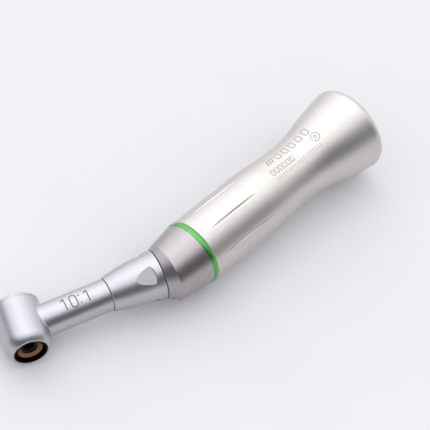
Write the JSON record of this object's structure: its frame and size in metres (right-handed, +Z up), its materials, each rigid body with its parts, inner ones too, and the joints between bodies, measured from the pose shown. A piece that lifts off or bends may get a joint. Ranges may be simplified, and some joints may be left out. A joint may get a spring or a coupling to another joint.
{
  "type": "dental contra-angle handpiece",
  "caption": "Angled dental handpiece with a reduction gear train, a push-button bur chuck in a round head, and a flared grip that takes a slow motor.",
  "frame": {"origin": "centre of the bounding box at its lowest point, on the surface that the handpiece lies on", "axes": "+X towards the motor coupling, close to the grip's axis; +Y towards the head's cap; the bur points towards -Y; +Z up"},
  "size_m": [0.098, 0.0288, 0.0205],
  "materials": {
    "champagne_satin": "satin champagne coating over aluminium",
    "green_ring": "glossy green",
    "nose_satin": "satin steel, fine turned",
    "satin_chrome": "satin chrome",
    "button_steel": "turned steel",
    "socket_steel": "turned steel",
    "brass": "turned brass",
    "bronze": "sintered bronze",
    "cage_plastic": "brown resin",
    "ball_steel": "polished",
    "bearing_steel": "ground",
    "spring_steel": "drawn wire",
    "gear_steel": "hardened, milled",
    "shaft_steel": "ground"
  },
  "bodies": {
    "casing": {"handle_shell": "champagne_satin", "ratio_ring": "green_ring", "nose_cone": "nose_satin", "front_sleeve": "satin_chrome", "head_neck": "satin_chrome", "head_cap": "satin_chrome", "ring_gear": "gear_steel", "shaft_housing": "shaft_steel", "coupling_sleeve": "socket_steel", "neck_bush": "bronze", "upper_bearing_outer_ring": "bearing_steel", "lower_bearing_outer_ring": "bearing_steel", "neck_bearing_outer_ring": "bearing_steel", "carrier_bearing_outer_ring": "bearing_steel", "shaft_front_bearing_outer_ring": "bearing_steel", "shaft_rear_bearing_outer_ring": "bearing_steel", "button_spring": "spring_steel"},
    "carrier": {"planet_carrier": "shaft_steel", "planet_pins": "shaft_steel", "bend_gear_rear": "gear_steel", "carrier_bearing_inner_ring": "bearing_steel"},
    "planet_1": {"planet_gear_1": "gear_steel"},
    "planet_2": {"planet_gear_2": "gear_steel"},
    "planet_3": {"planet_gear_3": "gear_steel"},
    "input_shaft": {"input_shaft": "shaft_steel", "sun_gear": "gear_steel", "shaft_front_bearing_inner_ring": "bearing_steel", "shaft_rear_bearing_inner_ring": "bearing_steel", "dog_clip": "spring_steel", "dog_spring": "spring_steel"},
    "drive_dog": {"drive_dog": "shaft_steel"},
    "neck_shaft": {"neck_shaft": "shaft_steel", "bend_gear_front": "gear_steel", "neck_pinion": "gear_steel", "neck_bearing_inner_ring": "bearing_steel"},
    "chuck": {"chuck_spindle": "shaft_steel", "head_gear": "gear_steel", "chuck_collet": "brass", "upper_bearing_inner_ring": "bearing_steel", "lower_bearing_inner_ring": "bearing_steel"},
    "push_button": {"push_button": "button_steel"},
    "upper_bearing_cage": {"upper_bearing_cage": "cage_plastic", "upper_bearing_balls": "ball_steel"},
    "lower_bearing_cage": {"lower_bearing_cage": "cage_plastic", "lower_bearing_balls": "ball_steel"},
    "neck_bearing_cage": {"neck_bearing_cage": "cage_plastic", "neck_bearing_balls": "ball_steel"},
    "carrier_bearing_cage": {"carrier_bearing_cage": "cage_plastic", "carrier_bearing_balls": "ball_steel"},
    "shaft_front_bearing_cage": {"shaft_front_bearing_cage": "cage_plastic", "shaft_front_bearing_balls": "ball_steel"},
    "shaft_rear_bearing_cage": {"shaft_rear_bearing_cage": "cage_plastic", "shaft_rear_bearing_balls": "ball_steel"}
  },
  "joints": [
    {"name": "carrier_spin", "type": "hinge", "parent": "casing", "child": "carrier", "pos_m": [-0.00024, -0.00418, 0.00806], "axis": [0.9989, 0, 0.0466], "continuous": true},
    {"name": "input_spin", "type": "hinge", "parent": "casing", "child": "input_shaft", "pos_m": [0.00585, -0.00418, 0.00834], "axis": [0.9989, 0, 0.0466], "continuous": true},
    {"name": "planet_1_spin", "type": "hinge", "parent": "carrier", "child": "planet_1", "pos_m": [0.00147, -0.00096, 0.00794], "axis": [0.9989, 0, 0.0466], "continuous": true},
    {"name": "planet_2_spin", "type": "hinge", "parent": "carrier", "child": "planet_2", "pos_m": [0.00132, -0.00562, 0.01102], "axis": [0.9989, 0, 0.0466], "continuous": true},
    {"name": "planet_3_spin", "type": "hinge", "parent": "carrier", "child": "planet_3", "pos_m": [0.00158, -0.00596, 0.00545], "axis": [0.9989, 0, 0.0466], "continuous": true},
    {"name": "neck_spin", "type": "hinge", "parent": "casing", "child": "neck_shaft", "pos_m": [-0.01538, -0.00202, 0.00722], "axis": [-0.9492, 0.3085, -0.0628], "continuous": true},
    {"name": "chuck_spin", "type": "hinge", "parent": "casing", "child": "chuck", "pos_m": [-0.04248, 0.00679, 0.00543], "axis": [-0.42, -0.9069, 0.035], "continuous": true},
    {"name": "upper_bearing_cage_spin", "type": "hinge", "parent": "casing", "child": "upper_bearing_cage", "pos_m": [-0.04097, 0.01006, 0.0053], "axis": [-0.42, -0.9069, 0.035], "continuous": true},
    {"name": "lower_bearing_cage_spin", "type": "hinge", "parent": "casing", "child": "lower_bearing_cage", "pos_m": [-0.04362, 0.00434, 0.00552], "axis": [-0.42, -0.9069, 0.035], "continuous": true},
    {"name": "neck_bearing_cage_spin", "type": "hinge", "parent": "casing", "child": "neck_bearing_cage", "pos_m": [-0.01539, -0.00201, 0.00722], "axis": [-0.9492, 0.3085, -0.0628], "continuous": true},
    {"name": "carrier_bearing_cage_spin", "type": "hinge", "parent": "casing", "child": "carrier_bearing_cage", "pos_m": [-0.00643, -0.00418, 0.00777], "axis": [0.9989, 0, 0.0466], "continuous": true},
    {"name": "shaft_front_bearing_cage_spin", "type": "hinge", "parent": "casing", "child": "shaft_front_bearing_cage", "pos_m": [0.0059, -0.00418, 0.00834], "axis": [0.9989, 0, 0.0466], "continuous": true},
    {"name": "shaft_rear_bearing_cage_spin", "type": "hinge", "parent": "casing", "child": "shaft_rear_bearing_cage", "pos_m": [0.01899, -0.00418, 0.00895], "axis": [0.9989, 0, 0.0466], "continuous": true},
    {"name": "dog_slide", "type": "slide", "parent": "input_shaft", "child": "drive_dog", "axis": [-0.9989, 0, -0.0466], "range_m": [0, 0.0015], "stiffness_N_per_m": 300, "springref_m": -0.004, "deforming": ["dog_spring"]},
    {"name": "button_press", "type": "slide", "parent": "casing", "child": "push_button", "axis": [-0.42, -0.9069, 0.035], "range_m": [0, 0.00045], "stiffness_N_per_m": 300, "springref_m": -0.005, "deforming": ["button_spring"]}
  ],
  "couplings": [
    {"joint": "carrier_spin", "follows": "input_spin", "ratio": 0.2},
    {"joint": "neck_spin", "follows": "input_spin", "ratio": -0.2},
    {"joint": "chuck_spin", "follows": "input_spin", "ratio": -0.1},
    {"joint": "planet_1_spin", "follows": "input_spin", "ratio": -0.53333},
    {"joint": "planet_2_spin", "follows": "input_spin", "ratio": -0.53333},
    {"joint": "planet_3_spin", "follows": "input_spin", "ratio": -0.53333},
    {"joint": "upper_bearing_cage_spin", "follows": "input_spin", "ratio": -0.040644},
    {"joint": "lower_bearing_cage_spin", "follows": "input_spin", "ratio": -0.039409},
    {"joint": "neck_bearing_cage_spin", "follows": "input_spin", "ratio": -0.075189},
    {"joint": "carrier_bearing_cage_spin", "follows": "input_spin", "ratio": 0.075455},
    {"joint": "shaft_front_bearing_cage_spin", "follows": "input_spin", "ratio": 0.37727},
    {"joint": "shaft_rear_bearing_cage_spin", "follows": "input_spin", "ratio": 0.37727}
  ]
}
